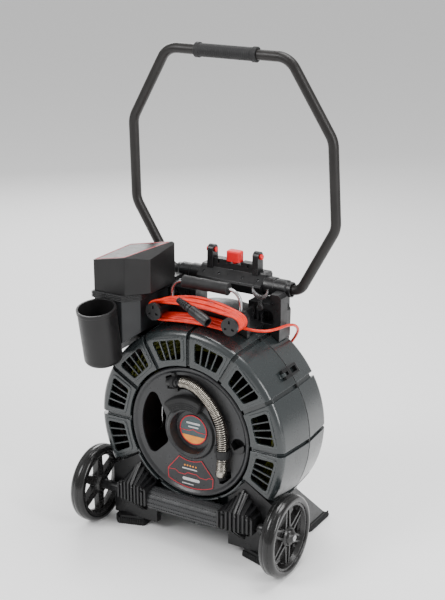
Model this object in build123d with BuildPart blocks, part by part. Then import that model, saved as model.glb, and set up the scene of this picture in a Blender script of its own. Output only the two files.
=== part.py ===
"""Wheeled pipe-inspection cable reel: round vented case, hand-turned drum, stand, dock and hoop handle.

Laid out in millimetres around the case: X = 0 is the middle of the case, Y = 0 its front face,
Z = 0 the floor. save() shifts every piece so that the origin is the middle of the footprint.
"""
import math
import os

from build123d import *

# ---- driving dimensions ----
footprint_mid_y = 92.94     # middle of the footprint, behind the case's front face
drum_z = 302.0              # height of the drum's axis
case_front_r = 263.0        # the case at its front corner
case_seam_r = 272.5         # the case at the seam between its shells
case_rear_r = 266.0         # the case at its rear corner
seam_y = 117.0
case_depth = 222.0
opening_r = 174.0           # the round opening in the front shell
wall = 4.0
groove_half = 5.5
groove_depth = 7.0
plate_r = 168.0
barrel_r = 162.0
basket_r = 249.0
shaft_r = 15.0
wheel_x = 274.0
axle_y = -6.0
axle_z = 101.5
wheel_r = 101.5
wheel_width = 38.0
axle_r = 8.0
running_gap = 0.05
tube_r = 12.5
pivot_y = 220.0             # the hoop handle's folding axis
pivot_z = 637.0
post_x = 65.0               # docking posts
wrap_x = 107.0              # cord wraps
wrap_z = 594.0
wrap_r = 15.0
cable_d = 7.0
bin_floor_z = 470.0
bin_top_z = 616.0
lid_z = 634.0

latch_angles = (-75, 52)
latch_pin_y = 83.0
latch_pin_r = 276.5

os.makedirs("parts", exist_ok=True)
drum_axis = Axis((0, 0, drum_z), (0, 1, 0))
wheel_axis = Axis((0, axle_y, axle_z), (1, 0, 0))


def save(piece, name):
    """Label a finished piece, move it to the footprint's middle and write its STEP."""
    finished = piece.part.moved(Location((0, -footprint_mid_y, 0)))
    finished.label = name
    export_step(finished, f"parts/{name}.step")


def front_plane(depth):
    """A plane across the drum's axis, facing forward; local X is X, local Y is the height over the axis."""
    return Plane(origin=(0, depth, drum_z), x_dir=(1, 0, 0), z_dir=(0, -1, 0))


def floor_plane(depth):
    """A plane facing forward at a depth; local X is X, local Y is the height over the floor."""
    return Plane(origin=(0, depth, 0), x_dir=(1, 0, 0), z_dir=(0, -1, 0))


def radial_plane(angle):
    """A plane through the drum's axis at a clock angle; local X runs back, local Y runs outward."""
    turn = math.radians(angle)
    facing = (math.cos(turn), 0, -math.sin(turn))
    return Plane(origin=(0, 0, drum_z), x_dir=(0, 1, 0), z_dir=facing)


def side_plane(x):
    """A plane facing +X; local X is Y, local Y is Z."""
    return Plane(origin=(x, 0, 0), x_dir=(0, 1, 0), z_dir=(1, 0, 0))


def at_clock(radius, angle):
    """A point at a radius and a clock angle from the top, in a front plane's local X and Y."""
    turn = math.radians(angle)
    return (radius * math.sin(turn), radius * math.cos(turn))


def bend_radii(points):
    """The largest radius that each corner of a cord's route has room for."""
    radii = []
    for before, corner, after in zip(points, points[1:], points[2:]):
        run_in = Vector(*corner) - Vector(*before)
        run_out = Vector(*after) - Vector(*corner)
        turn = math.radians(run_in.get_angle(run_out))
        radii.append(0.45 * min(run_in.length, run_out.length) / math.tan(turn / 2))
    return radii


def tube_along(points, radii, radius):
    """A round solid along straight runs joined by tangent arcs."""
    with BuildPart() as tube:
        with BuildLine() as route:
            FilletPolyline(*points, radius=radii)
        start = Plane(origin=route.line @ 0, z_dir=route.line % 0)
        with BuildSketch(start):
            Circle(radius)
        sweep(path=route.line)
    return tube, sum(edge.length for edge in route.edges())


def ring_profile(points):
    """A closed profile of (depth, radius) points to turn about the drum's axis."""
    with BuildSketch(radial_plane(0)) as profile:
        with BuildLine():
            Polyline(*points, close=True)
        make_face()
    return profile


# ---- the case ----
def groove_section(skin):
    """The section of a groove across the front shell, `skin` deeper and for the whole depth."""
    deep = groove_depth + skin
    return [(-2, 170), (deep, 170), (deep, 248 - deep), (17 + deep / 2, case_front_r - deep),
            (seam_y + 2, case_seam_r - deep), (seam_y + 2, 292), (-2, 292)]


def rear_groove_section(skin):
    """The section of a groove over the rear shell's rim and a little onto its back."""
    deep = groove_depth + skin
    return [(seam_y - 2, 292), (seam_y - 2, case_seam_r - deep), (204, case_rear_r - deep),
            (case_depth - deep, 250 - deep), (case_depth - deep, 214), (case_depth + 2, 214),
            (case_depth + 2, 292)]


def cut_grooves(section, half_width):
    """Take the twelve radial grooves out of the part being built."""
    for step in range(12):
        with BuildSketch(radial_plane(30 * step)) as groove:
            with BuildLine():
                Polyline(*section, close=True)
            make_face()
        extrude(groove.sketch, amount=half_width, both=True, mode=Mode.SUBTRACT)


def cut_stand_pocket(skin):
    """Take out the recess at the front of the four lowest segments, where the stand fits."""
    top = skin / math.sin(math.radians(60))
    reach = 330
    edge_x = reach * math.sin(math.radians(60))
    edge_y = top - reach * math.cos(math.radians(60))
    with BuildSketch(front_plane(30 + skin)) as pocket:
        Polygon((0, top), (edge_x, edge_y), (edge_x, -reach), (-edge_x, -reach), (-edge_x, edge_y), align=None)
        Circle(178 - skin, mode=Mode.SUBTRACT)
    extrude(pocket.sketch, amount=40 + skin, mode=Mode.SUBTRACT)


with BuildPart() as case_cavity:
    with BuildSketch(radial_plane(0)):
        with BuildLine():
            cavity_face = Polyline((44, 178), (wall, 178), (wall, 246))
            cavity_corner = ThreePointArc(cavity_face @ 1, (7.81, 255.19), (17, 259))
            Polyline(cavity_corner @ 1, (seam_y, 268.4), (seam_y, 120), (44, 120), (44, 178))
        make_face()
    revolve(axis=drum_axis)
    cut_grooves(groove_section(wall), groove_half + wall)
    cut_stand_pocket(wall)

vent_angles = [-105, -75, -45, -15, 15, 45, 75, 105]
vent_outer = [(-38, 183), (38, 183), (51, 244), (-51, 244)]
vent_inner = [(-31, 189), (31, 189), (43.5, 238.5), (-43.5, 238.5)]

with BuildPart() as front_case:
    with BuildSketch(radial_plane(0)):
        with BuildLine():
            front_face = Polyline((seam_y - 2, opening_r), (0, opening_r), (0, 246))
            front_corner = ThreePointArc(front_face @ 1, (4.98, 258.02), (17, case_front_r))
            Polyline(front_corner @ 1, (seam_y - 2, case_seam_r), (seam_y - 2, opening_r))
        make_face()
    revolve(axis=drum_axis)
    cut_grooves(groove_section(0), groove_half)
    cut_stand_pocket(0)
    add(case_cavity.part, mode=Mode.SUBTRACT)
    with BuildSketch(front_plane(0.5)) as vent_frames:
        for angle in vent_angles:
            with Locations(Location((0, 0, 0), (0, 0, -angle))):
                Polygon(*vent_outer, align=None)
        fillet(vent_frames.vertices(), 9)
    extrude(amount=3)
    with BuildSketch(front_plane(12)) as vent_mouths:
        for angle in vent_angles:
            with Locations(Location((0, 0, 0), (0, 0, -angle))):
                Polygon(*vent_inner, align=None)
        fillet(vent_mouths.vertices(), 7)
    extrude(amount=20, mode=Mode.SUBTRACT)
    with BuildSketch(front_plane(5)):
        for angle in vent_angles:
            for bar in (-1, 0, 1):
                with Locations(Location((0, 0, 0), (0, 0, -angle))):
                    Polygon((bar * 15.5 - 1.6, 187), (bar * 15.5 + 1.6, 187),
                            (bar * 22 + 1.6, 241), (bar * 22 - 1.6, 241), align=None)
    extrude(amount=5.5)
    # lugs that carry the two latches
    for angle in latch_angles:
        with BuildSketch(radial_plane(angle)):
            Polygon((76, 262), (76, 277), (80, 281), (86, 281), (90, 277), (90, 262), align=None)
        extrude(amount=4, both=True)
        with BuildSketch(radial_plane(angle)):
            with Locations((latch_pin_y, latch_pin_r)):
                Circle(2.5 + running_gap)
        extrude(amount=10, both=True, mode=Mode.SUBTRACT)
save(front_case, "front_case")

with BuildPart() as rear_cavity:
    with BuildSketch(radial_plane(0)):
        with BuildLine():
            Polyline((seam_y - 4, 0), (seam_y - 4, 268.4), (seam_y, 268.4), (205, 262), (213, 250), (218, 240),
                     (218, 0), close=True)
        make_face()
    revolve(axis=drum_axis)
    cut_grooves(rear_groove_section(wall), groove_half + wall)

with BuildPart() as rear_case:
    with BuildSketch(radial_plane(0)):
        with BuildLine():
            rear_rim = Polyline((seam_y + 2, 0), (seam_y + 2, case_seam_r), (205, case_rear_r))
            rear_corner = ThreePointArc(rear_rim @ 1, (217.02, 261.02), (case_depth, 249))
            Polyline(rear_corner @ 1, (case_depth, 0), (seam_y + 2, 0))
        make_face()
    revolve(axis=drum_axis)
    cut_grooves(rear_groove_section(0), groove_half)
    add(rear_cavity.part, mode=Mode.SUBTRACT)
    with BuildSketch(front_plane(case_depth)):
        Circle(22)
    extrude(amount=120, mode=Mode.SUBTRACT)
    # a stepped ring and six ribs on the back
    with BuildSketch(front_plane(case_depth)):
        Circle(206)
        Circle(196, mode=Mode.SUBTRACT)
        with PolarLocations(151, 6):
            Rectangle(92, 8)
    extrude(amount=-4)
    with BuildSketch(front_plane(218)):
        Circle(30)
        Circle(22, mode=Mode.SUBTRACT)
    extrude(amount=16)
save(rear_case, "rear_case")

with BuildPart() as case_seal:
    with BuildSketch(front_plane(seam_y + 2)):
        Circle(case_seam_r - 0.8)
        Circle(268.6, mode=Mode.SUBTRACT)
    extrude(amount=4)
save(case_seal, "case_seal")

# ---- the drum ----
hub_floor = 24.0
plate_face = 8.0
plate_back = 13.0
trough_route = [(-68, 119), (0, 131), (60, 87), (92, 24), (94, -48), (101, -118)]


def trough_outline(width, reach):
    """The band that the trough for the camera and its hose covers within a radius, on the current sketch plane."""
    with BuildLine() as middle:
        FilletPolyline(*trough_route, radius=(40, 60, 60, 40))
    trace(middle.edges(), line_width=width)
    Circle(reach, mode=Mode.INTERSECT)


with BuildPart() as drum_front_plate:
    with BuildSketch(radial_plane(0)):
        with BuildLine():
            Polyline((hub_floor, 0), (hub_floor, 49), (2, 56), (0, 60), (2, 66), (plate_face, 71),
                     (plate_face, 155), (3, 161), (2, 165), (5, plate_r), (16, plate_r), (16, 155),
                     (plate_back, 151), (plate_back, 75), (28, 58), (28, 0), close=True)
        make_face()
    revolve(axis=drum_axis)
    with BuildSketch(front_plane(40)) as finger_window:
        with BuildLine():
            window_outer = CenterArc((0, 0), 142, 137, 81)
            window_inner = CenterArc((0, 0), 73, 160, 52)
            Line(window_outer @ 0, window_inner @ 0)
            Line(window_outer @ 1, window_inner @ 1)
        make_face()
        fillet(finger_window.vertices(), 15)
    extrude(amount=50, mode=Mode.SUBTRACT)
    with BuildSketch(front_plane(40)):
        trough_outline(36, 150)
    extrude(amount=50, mode=Mode.SUBTRACT)
    with BuildSketch(front_plane(40)):
        with Locations((136, -6)):
            Circle(19.5)
    extrude(amount=50, mode=Mode.SUBTRACT)
save(drum_front_plate, "drum_front_plate")

tail_turn = (97, 42, drum_z - 104)
tail_end = (126, 70, drum_z - 134)
with BuildPart() as tail_bore:
    with BuildSketch(Plane(origin=tail_turn, z_dir=Vector(*tail_end) - Vector(*tail_turn))):
        Circle(9)
    extrude(amount=44)
    with BuildSketch(front_plane(46)):
        with Locations((97, -104)):
            Circle(9)
    extrude(amount=22)

with BuildPart() as camera_trough:
    with BuildSketch(front_plane(38)):
        trough_outline(42, 156)
    extrude(amount=38 - plate_back)
    with BuildSketch(front_plane(34.5)):
        trough_outline(36, 151)
    extrude(amount=30, mode=Mode.SUBTRACT)
    add(drum_front_plate.part, mode=Mode.SUBTRACT)
    add(tail_bore.part, mode=Mode.SUBTRACT)
save(camera_trough, "camera_trough")

with BuildPart() as drum_basket:
    with BuildSketch(radial_plane(0)):
        with BuildLine():
            Polyline((16, barrel_r - 4), (16, barrel_r), (188, barrel_r), (188, basket_r - 4), (50, basket_r - 4),
                     (50, basket_r - 12), (46, basket_r - 12), (46, basket_r), (192, basket_r), (192, 24),
                     (198, 24), (198, shaft_r), (180, shaft_r), (180, 24), (188, 24), (188, barrel_r - 4), close=True)
        make_face()
    revolve(axis=drum_axis)
    # the push cable passes from the trough to its coil through a hole in the barrel
    add(tail_bore.part, mode=Mode.SUBTRACT)
save(drum_basket, "drum_basket")

with BuildPart() as drum_shaft:
    with BuildSketch(front_plane(214)):
        Circle(shaft_r)
    extrude(amount=214 - 28)
    fillet(drum_shaft.edges().group_by(Axis.Y)[-1], 1.5)
save(drum_shaft, "drum_shaft")

with BuildPart() as rear_bearing:
    with BuildSketch(front_plane(216)):
        Circle(22)
        Circle(shaft_r + running_gap, mode=Mode.SUBTRACT)
    extrude(amount=12)
save(rear_bearing, "rear_bearing")

with BuildPart() as slip_ring:
    with BuildSketch(front_plane(240)):
        Circle(11)
    extrude(amount=26)
    with BuildSketch(front_plane(238)):
        Circle(13)
    extrude(amount=5)
    with BuildSketch(front_plane(228)):
        Circle(13)
    extrude(amount=5)
save(slip_ring, "slip_ring")

gland_angle = 38.0          # where the system cable leaves the slip ring housing, clockwise from behind
with BuildPart() as slip_ring_housing:
    with BuildSketch(radial_plane(0)):
        with BuildLine():
            Polyline((case_depth, 24), (case_depth, 100), (case_depth + 5, 100), (case_depth + 7, 98),
                     (case_depth + 7, 66), (case_depth + 14, 62), (case_depth + 32, 58), (case_depth + 38, 50),
                     (case_depth + 38, 0), (case_depth + 33, 0), (case_depth + 33, 24), close=True)
        make_face()
    revolve(axis=drum_axis)
    with BuildSketch(front_plane(case_depth + 12)):
        with PolarLocations(88, 6, start_angle=30):
            Circle(3)
    extrude(amount=12, mode=Mode.SUBTRACT)
save(slip_ring_housing, "slip_ring_housing")

with BuildPart() as hub_badge:
    with BuildSketch(front_plane(hub_floor)):
        Circle(40)
    extrude(amount=2.5)
    fillet(hub_badge.edges().group_by(Axis.Y)[0], 1)
save(hub_badge, "hub_badge")

with BuildPart() as front_label:
    with BuildSketch(front_plane(plate_face)) as label_outline:
        with BuildLine():
            label_top = CenterArc((0, 0), 77, 244, 52)
            label_foot = CenterArc((0, 0), 153.5, 244, 52)
            Polyline(label_top @ 0, (-69, -112), label_foot @ 0)
            Polyline(label_top @ 1, (69, -112), label_foot @ 1)
        make_face()
    extrude(amount=1.2)
save(front_label, "front_label")

with BuildPart() as finger_pull:
    with BuildSketch(front_plane(plate_face)) as pull_outline:
        with BuildLine():
            pull_inner = CenterArc((0, 0), 61, 62, 74)
            pull_outer = CenterArc((0, 0), 97, 62, 74)
            Line(pull_inner @ 0, pull_outer @ 0)
            Line(pull_inner @ 1, pull_outer @ 1)
        make_face()
        fillet(pull_outline.vertices(), 4)
    extrude(amount=21)
    fillet(finger_pull.edges().group_by(Axis.Y)[0], 2.5)
    add(drum_front_plate.part, mode=Mode.SUBTRACT)
save(finger_pull, "finger_pull")

with BuildPart() as thumb_cup:
    with BuildSketch(front_plane(30)):
        with Locations((136, -6)):
            Circle(21.8)
    extrude(amount=30 - plate_back)
    with BuildSketch(front_plane(27)):
        with Locations((136, -6)):
            Circle(19.5)
    extrude(amount=20, mode=Mode.SUBTRACT)
    # the D-shaped thumb rest
    with BuildSketch(front_plane(28)):
        with Locations((136, -6)):
            Circle(19.1)
        with Locations(Location((136 + 9, -6 + 17, 0), (0, 0, 35))):
            Rectangle(60, 26, mode=Mode.SUBTRACT)
    extrude(amount=26)
    with BuildSketch(front_plane(40)):
        trough_outline(42.2, 200)
    extrude(amount=40, mode=Mode.SUBTRACT)
    add(drum_front_plate.part, mode=Mode.SUBTRACT)
save(thumb_cup, "thumb_cup")


def drum_point(x, height, depth):
    """A point on the drum from its place on the front plate."""
    return (x, depth, drum_z + height)


camera_start = Vector(*drum_point(-60, 120, plate_face))
camera_end = Vector(*drum_point(-18, 130.5, 0))
camera_way = (camera_end - camera_start).normalized()
hose_depth = -6.5
hose_route = [tuple(camera_end), tuple(camera_end + camera_way * 16), drum_point(36, 124, -6),
              drum_point(76, 86, hose_depth), drum_point(101, 36, hose_depth), drum_point(100.5, -56, hose_depth),
              drum_point(96, -88, hose_depth)]
tail_route = [drum_point(96, -88, hose_depth), drum_point(94.5, -98.6, hose_depth), drum_point(95.5, -103, 9),
              drum_point(96.8, -103.8, 24), tail_turn, tail_end]

with BuildPart() as camera_head:
    with BuildSketch(Plane(origin=camera_start, z_dir=camera_way)):
        Circle(13)
    extrude(amount=34)
    with BuildSketch(Plane(origin=camera_start + camera_way * 34, z_dir=camera_way)):
        Circle(10.5)
    extrude(amount=(camera_end - camera_start).length - 34)
    with BuildSketch(Plane(origin=camera_start, z_dir=camera_way)):
        Circle(9)
    extrude(amount=3, mode=Mode.SUBTRACT)
save(camera_head, "camera_head")

camera_hose, hose_length = tube_along(hose_route, bend_radii(hose_route), 13.8)
save(camera_hose, "camera_hose")


def add_clip(middle, way, bore_r, ring_r, length, near_reach, far_reach):
    """A strap round the camera or its hose, with an ear on the drum's face at each side."""
    across = way.cross(Vector(0, 1, 0))
    with BuildSketch(Plane(origin=middle, x_dir=across, z_dir=way)) as strap:
        Circle(ring_r)
        with Locations(((far_reach - near_reach) / 2, middle.Y - plate_face + 2)):
            Rectangle(near_reach + far_reach, 4)
        Circle(bore_r, mode=Mode.SUBTRACT)
    extrude(strap.sketch, amount=length)


with BuildPart() as camera_clips:
    add_clip(camera_start + camera_way * 15, camera_way, 13.1, 15.2, 10, 24, 24)
    hose_way = (Vector(*hose_route[5]) - Vector(*hose_route[4])).normalized()
    add_clip(Vector(*hose_route[4]) + hose_way * 54, hose_way, 13.9, 16.6, 20, 30, 17)
    add(drum_front_plate.part, mode=Mode.SUBTRACT)
save(camera_clips, "camera_clips")

with BuildPart() as push_cable:
    with BuildSketch(radial_plane(0)) as coil_section:
        with Locations((124, 204)):
            Rectangle(118, 76)
        fillet(coil_section.vertices(), 24)
    revolve(axis=drum_axis)
    with BuildLine() as tail:
        FilletPolyline(*tail_route, radius=bend_radii(tail_route))
    with BuildSketch(Plane(origin=tail.line @ 0, z_dir=tail.line % 0)):
        Circle(5)
    sweep(path=tail.line)
save(push_cable, "push_cable")


# ---- the stand ----
def pad_points(side, inset):
    """A front foot's outline on the floor, its front edge slanted forward to the outside."""
    return [(side * (146 + inset), 12 + inset), (side * (213 - inset), -8 + inset), (side * (229 - inset), 8 + inset),
            (side * (229 - inset), 80 - inset), (side * (146 + inset), 80 - inset)]


def make_side_frame(side):
    """One leg of the stand: a block under the case with a front plate, hollowed from inside, sloping down behind."""
    with BuildPart() as hollow:
        with BuildSketch(side_plane(side * 120)):
            Polygon((44, 29), (232, 29), (150, 100), (126, 130), (44, 130), align=None)
        extrude(amount=side * 108)
        with BuildSketch(front_plane(320)):
            Circle(279)
        extrude(amount=320, mode=Mode.SUBTRACT)
    with BuildPart() as frame:
        with BuildSketch(floor_plane(300)):
            Polygon((side * 132, 22), (side * 236, 22), (side * 236, 190), (side * 132, 190), align=None)
        extrude(amount=300 - 30)
        with BuildSketch(front_plane(310)):
            Circle(274)
        extrude(amount=290, mode=Mode.SUBTRACT)
        with BuildSketch(front_plane(30)):
            lean = math.radians(31.5)
            apex = at_clock(183, side * 122)
            Polygon((side * 106, 22 - drum_z), (side * 236, 22 - drum_z),
                    (side * 236, apex[1] - (236 - abs(apex[0])) * math.tan(lean)), apex, (side * 106, apex[1]),
                    align=None)
            Circle(183, mode=Mode.SUBTRACT)
        extrude(amount=18)
        # the sloping back
        with BuildSketch(side_plane(side * 100)):
            Polygon((126, 158), (330, -19), (330, 220), (126, 220), align=None)
        extrude(amount=side * 160, mode=Mode.SUBTRACT)
        # the hollow, open to the inside
        add(hollow.part, mode=Mode.SUBTRACT)
        # the axle's bore
        with BuildSketch(side_plane(0)):
            with Locations((axle_y, axle_z)):
                Circle(axle_r + 1)
        extrude(amount=side * 300, mode=Mode.SUBTRACT)
    return frame


rib_start = 104.5
rib_pitch = 11.0
rib_width = 5.0
rib_count = 9


def bumper_section(reach, inset):
    """The bumper's outline in Y and Z at a distance from the middle of the machine, `inset` smaller."""
    top = 186 - 1.04 * max(154 - reach, 0) - 1.33 * max(reach - 154, 0) - inset
    foot = 41 + 1.32 * max(145 - reach, 0) + 0.94 * max(reach - 145, 0) + inset
    nose = -42 + 0.12 * (reach - 104) + inset
    return [(12, foot), (12, top), (9, top), (nose, min(138, top - 1)), (nose, max(90, foot + 1))]


def make_bumper(side):
    """A ribbed pentagon: tall ribs side by side with lower lands between them."""
    with BuildPart() as bumper:
        for rib in range(rib_count):
            inner = rib_start + rib * rib_pitch
            with BuildSketch(side_plane(side * inner)):
                Polygon(*bumper_section(inner + rib_width / 2, 0), align=None)
            extrude(amount=side * rib_width)
            if rib < rib_count - 1:
                with BuildSketch(side_plane(side * (inner + rib_width))):
                    Polygon(*bumper_section(inner + rib_pitch * 0.7, 6), align=None)
                extrude(amount=side * (rib_pitch - rib_width))
        with BuildSketch(side_plane(0)):
            with Locations((axle_y, axle_z)):
                Circle(axle_r)
        extrude(amount=side * 300, mode=Mode.SUBTRACT)
        with BuildSketch(floor_plane(-30)):
            with Locations((side * 118, 130), (side * 151, 130), (side * 184, 130)):
                Circle(3.5)
        extrude(amount=40, mode=Mode.SUBTRACT)
    return bumper


for side, hand in ((-1, "left"), (1, "right")):
    save(make_side_frame(side), f"side_frame_{hand}")
    save(make_bumper(side), f"bumper_{hand}")

with BuildPart() as front_feet:
    with BuildSketch(Plane.XY):
        for side in (-1, 1):
            Polygon(*pad_points(side, 0), align=None)
    extrude(amount=8)
    for side in (-1, 1):
        with BuildSketch(Plane.XY.offset(8)):
            Polygon(*pad_points(side, 0), align=None)
        with BuildSketch(Plane.XY.offset(22)):
            Polygon(*pad_points(side, 5), align=None)
        loft()
save(front_feet, "front_feet")

with BuildPart() as rear_feet:
    for side in (-1, 1):
        with BuildSketch(side_plane(side * 150)):
            Polygon((202, 22), (202, 0), (309, 0), (309, 6), (285, 22), align=None)
        extrude(amount=side * 88)
    fillet(rear_feet.edges().filter_by(Axis.Y).group_by(Axis.Z)[0], 2)
save(rear_feet, "rear_feet")

with BuildPart() as front_bar:
    with BuildSketch(side_plane(-rib_start)):
        with Locations((axle_y, axle_z)):
            Circle(29)
    extrude(amount=2 * rib_start)
    with BuildSketch(side_plane(-107)):
        with Locations((axle_y, axle_z)):
            with PolarLocations(29.5, 16):
                Rectangle(5, 3)
    extrude(amount=214, mode=Mode.SUBTRACT)
    with BuildSketch(side_plane(-107)):
        with Locations((axle_y, axle_z)):
            Circle(axle_r)
    extrude(amount=214, mode=Mode.SUBTRACT)
    with BuildSketch(front_plane(60)):
        Circle(179)
    extrude(amount=61, mode=Mode.SUBTRACT)
save(front_bar, "front_bar")

with BuildPart() as rear_bar:
    with BuildSketch(side_plane(-132)):
        with Locations((176, 27)):
            RectangleRounded(26, 10, 3)
    extrude(amount=264)
save(rear_bar, "rear_bar")

with BuildPart() as axle:
    with BuildSketch(side_plane(-(wheel_x + 21))):
        with Locations((axle_y, axle_z)):
            Circle(axle_r)
    extrude(amount=2 * (wheel_x + 21))
    # collars that keep the wheels clear of the stand
    for side in (-1, 1):
        with BuildSketch(side_plane(side * 204)):
            with Locations((axle_y, axle_z)):
                Circle(13)
        extrude(amount=side * 53)
save(axle, "axle")


# ---- wheels ----
def wheel_profile(side, points):
    """A profile of (distance outward from the wheel's middle, radius) points."""
    return [(side * (wheel_x + out), axle_z + radius) for out, radius in points]


def turned(profile):
    """Turn a profile in X and Z about the axle."""
    with BuildSketch(Plane(origin=(0, axle_y, 0), x_dir=(1, 0, 0), z_dir=(0, -1, 0))) as section:
        with BuildLine():
            Polyline(*profile, close=True)
        make_face()
    revolve(section.sketch, axis=wheel_axis)


def make_wheel(side):
    """Hub, six double spokes and rim in one moulding."""
    bore = axle_r + running_gap
    with BuildPart() as wheel:
        turned(wheel_profile(side, [(-16, bore), (-16, 21), (-10, 25), (10, 25), (14, 21), (14, bore)]))
        turned(wheel_profile(side, [(-15, 78), (-15, 84), (-11, 88), (11, 88), (15, 84), (15, 78), (4, 73),
                                    (-4, 73)]))
        for spoke in range(6):
            with BuildSketch(side_plane(side * (wheel_x - 7))):
                with Locations(Location((axle_y, axle_z, 0), (0, 0, 60 * spoke + 30))):
                    Polygon((20, -13), (20, 13), (76, 9), (76, -9), align=None)
            extrude(amount=side * 11)
            with BuildSketch(side_plane(side * (wheel_x + 4))):
                with Locations(Location((axle_y, axle_z, 0), (0, 0, 60 * spoke + 30))):
                    Polygon((20, 7), (20, 13), (76, 9), (76, 4), align=None)
                    Polygon((20, -7), (20, -13), (76, -9), (76, -4), align=None)
            extrude(amount=side * 5)
    return wheel


def make_tyre(side):
    """A solid tyre with rounded shoulders."""
    with BuildPart() as tyre:
        turned(wheel_profile(side, [(-15, 84), (-19, 88), (-19, 93), (-14, 99), (-6, wheel_r), (6, wheel_r),
                                    (14, 99), (19, 93), (19, 88), (15, 84), (11, 88), (-11, 88)]))
    return tyre


def make_hub_cap(side):
    """A stepped cap over the axle's end."""
    with BuildPart() as cap:
        turned(wheel_profile(side, [(14, 12), (14, 20), (19, 18), (23, 13), (26, 11), (27, 6), (27, 0), (22, 0),
                                    (22, 10), (14, 10)]))
    return cap


for side, hand in ((-1, "left"), (1, "right")):
    save(make_wheel(side), f"wheel_{hand}")
    save(make_tyre(side), f"tyre_{hand}")
    save(make_hub_cap(side), f"hub_cap_{hand}")

# ---- the bridge on top of the case ----
bridge_front = 78.0
bridge_back = 90.0
upright_front = 158.0
dock_foot_z = 613.0
with BuildPart() as top_bridge:
    with BuildSketch(front_plane(214)) as saddle:
        Circle(284)
        with BuildLine():
            Polyline((0, 0), at_clock(420, 25), (0, 420), at_clock(420, -25), close=True)
        make_face(mode=Mode.INTERSECT)
    extrude(amount=214 - bridge_front)
    with BuildSketch(floor_plane(bridge_back)):
        Polygon((-119, 540), (119, 540), (119, 600), (109, 612), (-109, 612), (-119, 600), align=None)
    extrude(amount=bridge_back - bridge_front)
    for side in (-1, 1):
        with BuildSketch(floor_plane(214)):
            Polygon((side * 76, 540), (side * 162, 500), (side * 164, 590), (side * 150, dock_foot_z),
                    (side * 76, dock_foot_z), align=None)
        extrude(amount=214 - upright_front)
        with BuildSketch(floor_plane(192)):
            Polygon((side * 136, 560), (side * 166, 560), (side * 166, 630), (side * 158, 638),
                    (side * 136, 638), align=None)
        extrude(amount=192 - upright_front)
        with BuildSketch(floor_plane(upright_front)):
            Polygon((side * 78, 540), (side * 88, 540), (side * 88, 598), (side * 78, 598), align=None)
        extrude(amount=upright_front - bridge_back)
        # an arched window and two flutes in each upright's face
        with BuildSketch(floor_plane(upright_front + 30)) as arch:
            Polygon((side * 114, 562), (side * 146, 562), (side * 146, 584), (side * 138, 595), (side * 122, 595),
                    (side * 114, 584), align=None)
            fillet(arch.vertices(), 3)
        extrude(amount=40, mode=Mode.SUBTRACT)
        with BuildSketch(floor_plane(upright_front + 5)):
            with Locations((side * 94, 586), (side * 106, 586)):
                Rectangle(6, 42)
        extrude(amount=10, mode=Mode.SUBTRACT)
    with BuildSketch(front_plane(230)):
        Circle(case_seam_r)
    extrude(amount=230, mode=Mode.SUBTRACT)
save(top_bridge, "top_bridge")

with BuildPart() as cord_wraps:
    for side in (-1, 1):
        with BuildSketch(floor_plane(bridge_front)):
            with Locations((side * wrap_x, wrap_z)):
                Circle(wrap_r)
        extrude(amount=bridge_front - 20)
        with BuildSketch(floor_plane(21)):
            with Locations((side * wrap_x, wrap_z)):
                Circle(21.8)
        extrude(amount=9)
        with BuildSketch(floor_plane(16)):
            with Locations((side * wrap_x, wrap_z)):
                with PolarLocations(11.5, 3, start_angle=90):
                    SlotOverall(9, 5.4)
        extrude(amount=6, mode=Mode.SUBTRACT)
save(cord_wraps, "cord_wraps")

carry_y = 84.0
carry_z = 660.0
carry_tube_r = 4.5
carry_points = [(-97, carry_y, 612), (-97, carry_y, carry_z), (97, carry_y, carry_z), (97, carry_y, 612)]
carry_tube, carry_length = tube_along(carry_points, (32, 32), carry_tube_r)
save(carry_tube, "carry_tube")

with BuildPart() as carry_grip:
    with BuildSketch(side_plane(-64)):
        with Locations((carry_y, carry_z)):
            Circle(15.5)
            Circle(carry_tube_r, mode=Mode.SUBTRACT)
    extrude(amount=128)
    fillet(carry_grip.edges().filter_by(GeomType.CIRCLE).sort_by(SortBy.RADIUS)[-2:], 4)
    with BuildSketch(floor_plane(carry_y - 5)):
        with Locations((-46, carry_z - 2)):
            Circle(2.6)
    extrude(amount=12, mode=Mode.SUBTRACT)
save(carry_grip, "carry_grip")

# ---- the dock ----
dock_half = 92.0
post_y = 222.0
post_head_z = 706.0
pivot_axis = Axis((0, pivot_y, pivot_z), (1, 0, 0))
dock_section = [(200, dock_foot_z), (190, 630), (186, 637), (188, 643), (213, 664), (216, 668), (244, 668),
                (250, 660), (250, 620), (243, dock_foot_z)]


def turn_about_pivot(points):
    """Turn a profile of (X, radius) points about the hoop handle's folding axis."""
    with BuildSketch(Plane(origin=(0, pivot_y, pivot_z), x_dir=(1, 0, 0), z_dir=(0, -1, 0))) as section:
        with BuildLine():
            Polyline(*points, close=True)
        make_face()
    revolve(section.sketch, axis=pivot_axis)


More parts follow.
